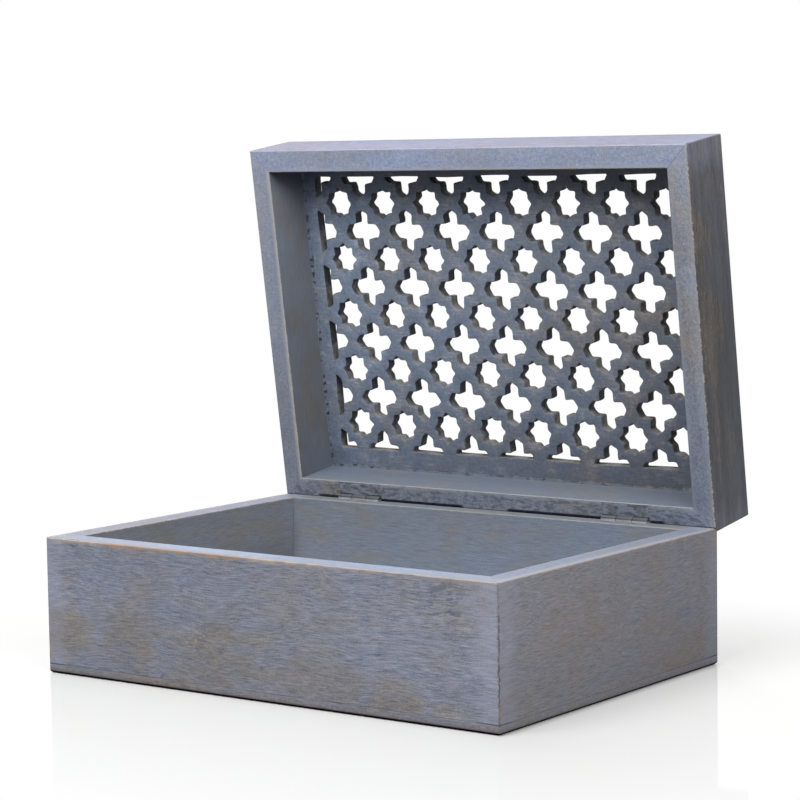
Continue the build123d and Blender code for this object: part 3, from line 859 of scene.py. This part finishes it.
# The lower leaves' film matches the back wall's darker top and carries the same painted shade
brass = {"lower_leaf": pressed_brass("washed_over_brass_lower_leaf", 1.0, "#5c6068", "#7b7d80"),
         "upper_leaf": pressed_brass("washed_over_brass_upper_leaf", 1.0, "#42474f", "#6c7481"),
         "pin": pressed_brass("drawn_brass_pin", 0.6, "#54575c", "#7b7a76")}
for side in ("left", "right"):
    for part, finish in brass.items():
        dress(f"{side}_hinge_{part}", finish, arris=HINGE_ARRIS_MM)


# The eight hinge screws
# Slotted countersunk steel screws, 9 mm long, driven flush into the leaves.
# Zinc-plated once, now dull and partly clogged with wash.

SCREW_HEAD_MM = 1.88
HEAD_EASE_MM = (0.08, 0.06)
SCREW_HEAD_DEEP_MM = 1.0
SCREW_ROOT_MM = 0.62
SCREW_CREST_MM = 0.9
SCREW_LONG_MM = 9.0
THREAD_TOP_MM = -2.4
THREAD_PITCH_MM = 0.9
ROWS_PER_TURN = 6
SCREW_SMOOTH_DEG = 35
SLOT_WIDE_MM = 0.4
SLOT_HALF_LONG_MM = 3.0
SLOT_DEEP_MM = 0.12
SCREW_BACK_MM = 5.0
SCREW_APART_MM = 15.0
HINGE_CENTRE_MM = sum(corner.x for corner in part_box("right_hinge_pin")) / 2 / MM


def plated_steel(name):
    """Zinc-plated steel gone dull: grey metal with faint spangle and paint in the low places."""
    material, node, place = empty_material(name)
    spangle = node("TexNoise", {"Vector": place, "Scale": 1 / 0.6, "Detail": 3.0})
    film = node("MapRange", [spangle, 0.3, 0.5], **SMOOTH)
    colour = node("Mix", {0: film, 6: "#85847e", 7: "#626872"}, **COLOUR)
    metallic = node("MapRange", {0: film, 3: 1.0, 4: 0.1})
    gloss = node("MapRange", [spangle, 0.3, 0.7, 0.35, 0.6])
    bump = node("Bump", {"Strength": 0.3, "Distance": 0.05 * MM, "Height": spangle})
    skin = node("BsdfPrincipled", {"Base Color": colour, "Metallic": metallic, "Roughness": gloss,
                                   "Normal": bump})
    node("OutputMaterial", [skin])
    return material


def screw_shell(around=28):
    """Points and faces of one screw, head up at the origin, its thread a running helix."""
    rings = [([radius] * around, level) for radius, level in (
        (SCREW_HEAD_MM - HEAD_EASE_MM[0], 0.0), (SCREW_HEAD_MM, -HEAD_EASE_MM[1]),
        (SCREW_CREST_MM, -SCREW_HEAD_DEEP_MM), (SCREW_CREST_MM, THREAD_TOP_MM))]
    threaded = SCREW_LONG_MM + THREAD_TOP_MM
    rows = int(threaded / THREAD_PITCH_MM * ROWS_PER_TURN)
    for row in range(1, rows + 1):
        level = THREAD_TOP_MM - row / rows * threaded
        taper = min(1.0, (rows - row) / rows * 3.0 + 0.08)
        phases = [(level / THREAD_PITCH_MM + step / around) % 1 for step in range(around)]
        ridges = [max(0.0, 1 - abs(phase - 0.5) * 4) for phase in phases]
        rings.append(([(SCREW_ROOT_MM + (SCREW_CREST_MM - SCREW_ROOT_MM) * ridge) * taper
                       for ridge in ridges], level))
    turns = [step / around * math.tau for step in range(around)]
    shell = [(0.0, 0.0, 0.0)]
    shell += [(radius * math.cos(turn), radius * math.sin(turn), level)
              for radii, level in rings for radius, turn in zip(radii, turns)]
    shell.append((0.0, 0.0, -SCREW_LONG_MM))
    sides = [(0, 1 + step, 1 + (step + 1) % around) for step in range(around)]
    for ring in range(len(rings) - 1):
        for step in range(around):
            here = 1 + ring * around + step
            after = 1 + ring * around + (step + 1) % around
            sides.append((here, here + around, after + around, after))
    last = 1 + (len(rings) - 1) * around
    sides += [(last + step, len(shell) - 1, last + (step + 1) % around) for step in range(around)]
    return shell, sides


def slotted_screw():
    """The mesh of one screw at the origin, with the driver's slot cut across its head."""
    steel = plated_steel("dull_zinc_steel")
    blank = mesh_piece("screw_blank", *screw_shell(), steel)
    bar = [(sx * SLOT_HALF_LONG_MM, sy * SLOT_WIDE_MM / 2, z)
           for z in (-SLOT_DEEP_MM, 1.0) for sx, sy in FOUR_CORNERS]
    bar_faces = [(3, 2, 1, 0), (4, 5, 6, 7)]
    bar_faces += [(i, (i + 1) % 4, (i + 1) % 4 + 4, i + 4) for i in range(4)]
    cutter = mesh_piece("slot_cutter", bar, bar_faces, steel)
    slot = blank.modifiers.new("slot", "BOOLEAN")
    slot.object = cutter
    slot.solver = "EXACT"
    bpy.context.view_layer.update()
    cut = blank.evaluated_get(bpy.context.evaluated_depsgraph_get())
    ready = bpy.data.meshes.new_from_object(cut)
    for scrap in (blank, cutter):
        bpy.data.objects.remove(scrap)
    return ready


def leaf_screws(name, shape, centre, flip, level):
    """The two screws of one leaf, their slots left at different angles by the driver."""
    pair = []
    for made, place in ((name, -0.5), (name + "_second", 0.5)):
        screw = bpy.data.objects.new(made, shape.copy())
        spin = Matrix.Rotation(hand.uniform(0, math.pi), 4, "Z")
        at = Vector((centre + place * SCREW_APART_MM, AXIS.y / MM - SCREW_BACK_MM, level)) * MM
        screw.data.transform(Matrix.Translation(at) @ Matrix.Rotation(flip, 4, "X") @ spin)
        scene.collection.objects.link(screw)
        pair.append(screw)
    bpy.context.view_layer.update()
    with bpy.context.temp_override(active_object=pair[0], selected_editable_objects=pair):
        bpy.ops.object.join()
    pair[0].data.shade_smooth()
    pair[0].data.set_sharp_from_angle(angle=math.radians(SCREW_SMOOTH_DEG))
    return pair[0]


screw = slotted_screw()
for side, centre in (("left", -HINGE_CENTRE_MM), ("right", HINGE_CENTRE_MM)):
    lower = leaf_screws(side + "_lower_slotted_screws", screw, centre, 0.0, BASE_RIM_MM)
    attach(lower, "base")
    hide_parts(side + "_lower_leaf_screws")
    upper = leaf_screws(side + "_upper_slotted_screws", screw, centre, math.pi, LID_RIM_MM)
    upper.data.transform(TO_OPEN)
    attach(upper, "lid")
    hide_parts(side + "_upper_leaf_screws")


# The brads
# Headless square steel wire, 1 mm thick, punched under the surface and filled over.
# They hold the mitres, the bottom board and the panel, and nothing of them shows.


def cut_wire(name):
    """Drawn mild steel wire: plain grey metal with die marks, coarser than they are, to show."""
    material, node, place = empty_material(name)
    drawn = node("TexNoise", {"Vector": place, "Scale": 1 / 0.4, "Detail": 2.0})
    colour = node("Mix", {0: drawn, 6: "#6d6c6a", 7: "#a3a29f"}, **COLOUR)
    gloss = node("MapRange", [drawn, 0.3, 0.7, 0.3, 0.5])
    bump = node("Bump", {"Strength": 0.2, "Distance": 0.03 * MM, "Height": drawn})
    skin = node("BsdfPrincipled", {"Base Color": colour, "Metallic": 1.0, "Roughness": gloss,
                                   "Normal": bump})
    node("OutputMaterial", [skin])
    return material


brad_wire = cut_wire("drawn_steel_wire")
for brads in ("wall_corner_brads", "bottom_board_brads", "rail_corner_brads",
              "lattice_panel_brads"):
    dress(brads, brad_wire, arris=0.0)


# The studio
# A glossy white table that fades into a white background, three large soft lamps, and a fourth,
# low and unseen, for the sides that the photograph doesn't show. The camera stands low, in
# front and to the right, where the photograph was taken.

FLOOR_HALF_MM = 6000.0
FADE_NEAR_MM = 5.0
FADE_FAR_MM = 175.0


def white_acrylic(name):
    """A glossy white table top: white to the camera, it mirrors faintly and holds the shadow."""
    material, node, place = empty_material(name)
    beside = node("VectorMath", [place], **UNSIGNED)
    beside = node("VectorMath", [beside, (CASE_HALF_X_MM, CASE_HALF_Y_MM, 0)], **MINUS)
    beside = node("VectorMath", [beside, (0, 0, 0)], **LARGER)
    away = node("VectorMath", [beside], out="Value", operation="LENGTH")
    mirror = node("MapRange", {0: away, 2: FADE_FAR_MM, 3: 0.27, 4: 0.0})
    shaded = node("MapRange", [away, FADE_NEAR_MM, FADE_FAR_MM, 0.5, 0.0], **SMOOTH)
    touching = node("MapRange", {0: away, 2: 4.0, 3: 0.4, 4: 0.0})
    shaded = node("Math", [shaded, touching], **PLUS)
    white = node("Emission", ["#ffffff"])
    matt = node("BsdfDiffuse", ["#dadbd9"])
    dim = node("BsdfDiffuse", ["#616163"])
    glass = node("BsdfAnisotropic", ["#fcfdfa", 0.05])
    seen = node("MixShader", [shaded, white, matt])
    seen = node("MixShader", [mirror, seen, glass])
    by_camera, glossy, through = [node("LightPath", {}, out=f"Is {kind} Ray")
                                  for kind in ("Camera", "Glossy", "Transmission")]
    direct = node("Math", [glossy, through], **LARGER)
    shown = node("MixShader", [direct, dim, white])
    shown = node("MixShader", [by_camera, shown, seen])
    node("OutputMaterial", [shown])
    return material


floor = mesh_piece("table_top", [(sx * FLOOR_HALF_MM, sy * FLOOR_HALF_MM, 0.0)
                                 for sx, sy in FOUR_CORNERS],
                   [(0, 1, 2, 3)], white_acrylic("white_acrylic_table"))

AMBIENT = 0.04
room = bpy.data.worlds.new("white_room")
scene.world = room
room.use_nodes = True
room.node_tree.nodes.clear()
node = partial(add, room.node_tree)
clear = 0.0
for kind in ("Camera", "Glossy", "Transmission"):
    ray = node("LightPath", {}, out=f"Is {kind} Ray")
    clear = node("Math", [clear, ray], **LARGER)
strength = node("MapRange", {0: clear, 3: AMBIENT, 4: 1.0})
sky = node("Background", ["#ffffff", strength])
node("OutputWorld", [sky])

LAMPS_AIM = Vector((0, 0, 0.1))


def softbox(name, at, size, watts):
    """A large square lamp behind diffusing cloth."""
    lamp = bpy.data.lights.new(name, "AREA")
    lamp.shape = "SQUARE"
    lamp.size = size
    lamp.energy = watts
    holder = bpy.data.objects.new(name, lamp)
    holder.location = at
    holder.rotation_euler = (LAMPS_AIM - Vector(at)).to_track_quat("-Z", "Y").to_euler()
    scene.collection.objects.link(holder)
    return holder


softbox("overhead_softbox", (-0.1, -0.1, 1.25), 1.0, 7.0)
softbox("front_top_softbox", (-0.05, -0.62, 0.83), 0.65, 10.5)
softbox("side_softbox", (1.1, -0.5, 0.75), 0.8, 12.0)
low_lamp = softbox("low_back_softbox", (-0.95, 1.0, 0.28), 0.5, 16.0)
low_lamp.visible_camera = False
low_lamp.visible_glossy = False

VIEW_AZIMUTH = 36.319
VIEW_ELEVATION = 5.355
VIEW_ROLL = -0.873
VIEW_FROM = (0.7139, -0.9550, 0.2354)
LENS_MM = 118.44
SENSOR_MM = 36.0
turn, rise, roll = (math.radians(a) for a in (VIEW_AZIMUTH, VIEW_ELEVATION, VIEW_ROLL))
aimed = Matrix.Rotation(turn, 4, "Z") @ Matrix.Rotation(math.pi / 2 - rise, 4, "X")
lens = bpy.data.cameras.new("camera")
lens.lens = LENS_MM
lens.sensor_width = SENSOR_MM
lens.sensor_fit = "HORIZONTAL"
lens.clip_end = 50.0
camera = bpy.data.objects.new("camera", lens)
camera.matrix_world = Matrix.Translation(VIEW_FROM) @ aimed @ Matrix.Rotation(roll, 4, "Z")
scene.collection.objects.link(camera)
scene.camera = camera
scene.view_settings.view_transform = "Standard"
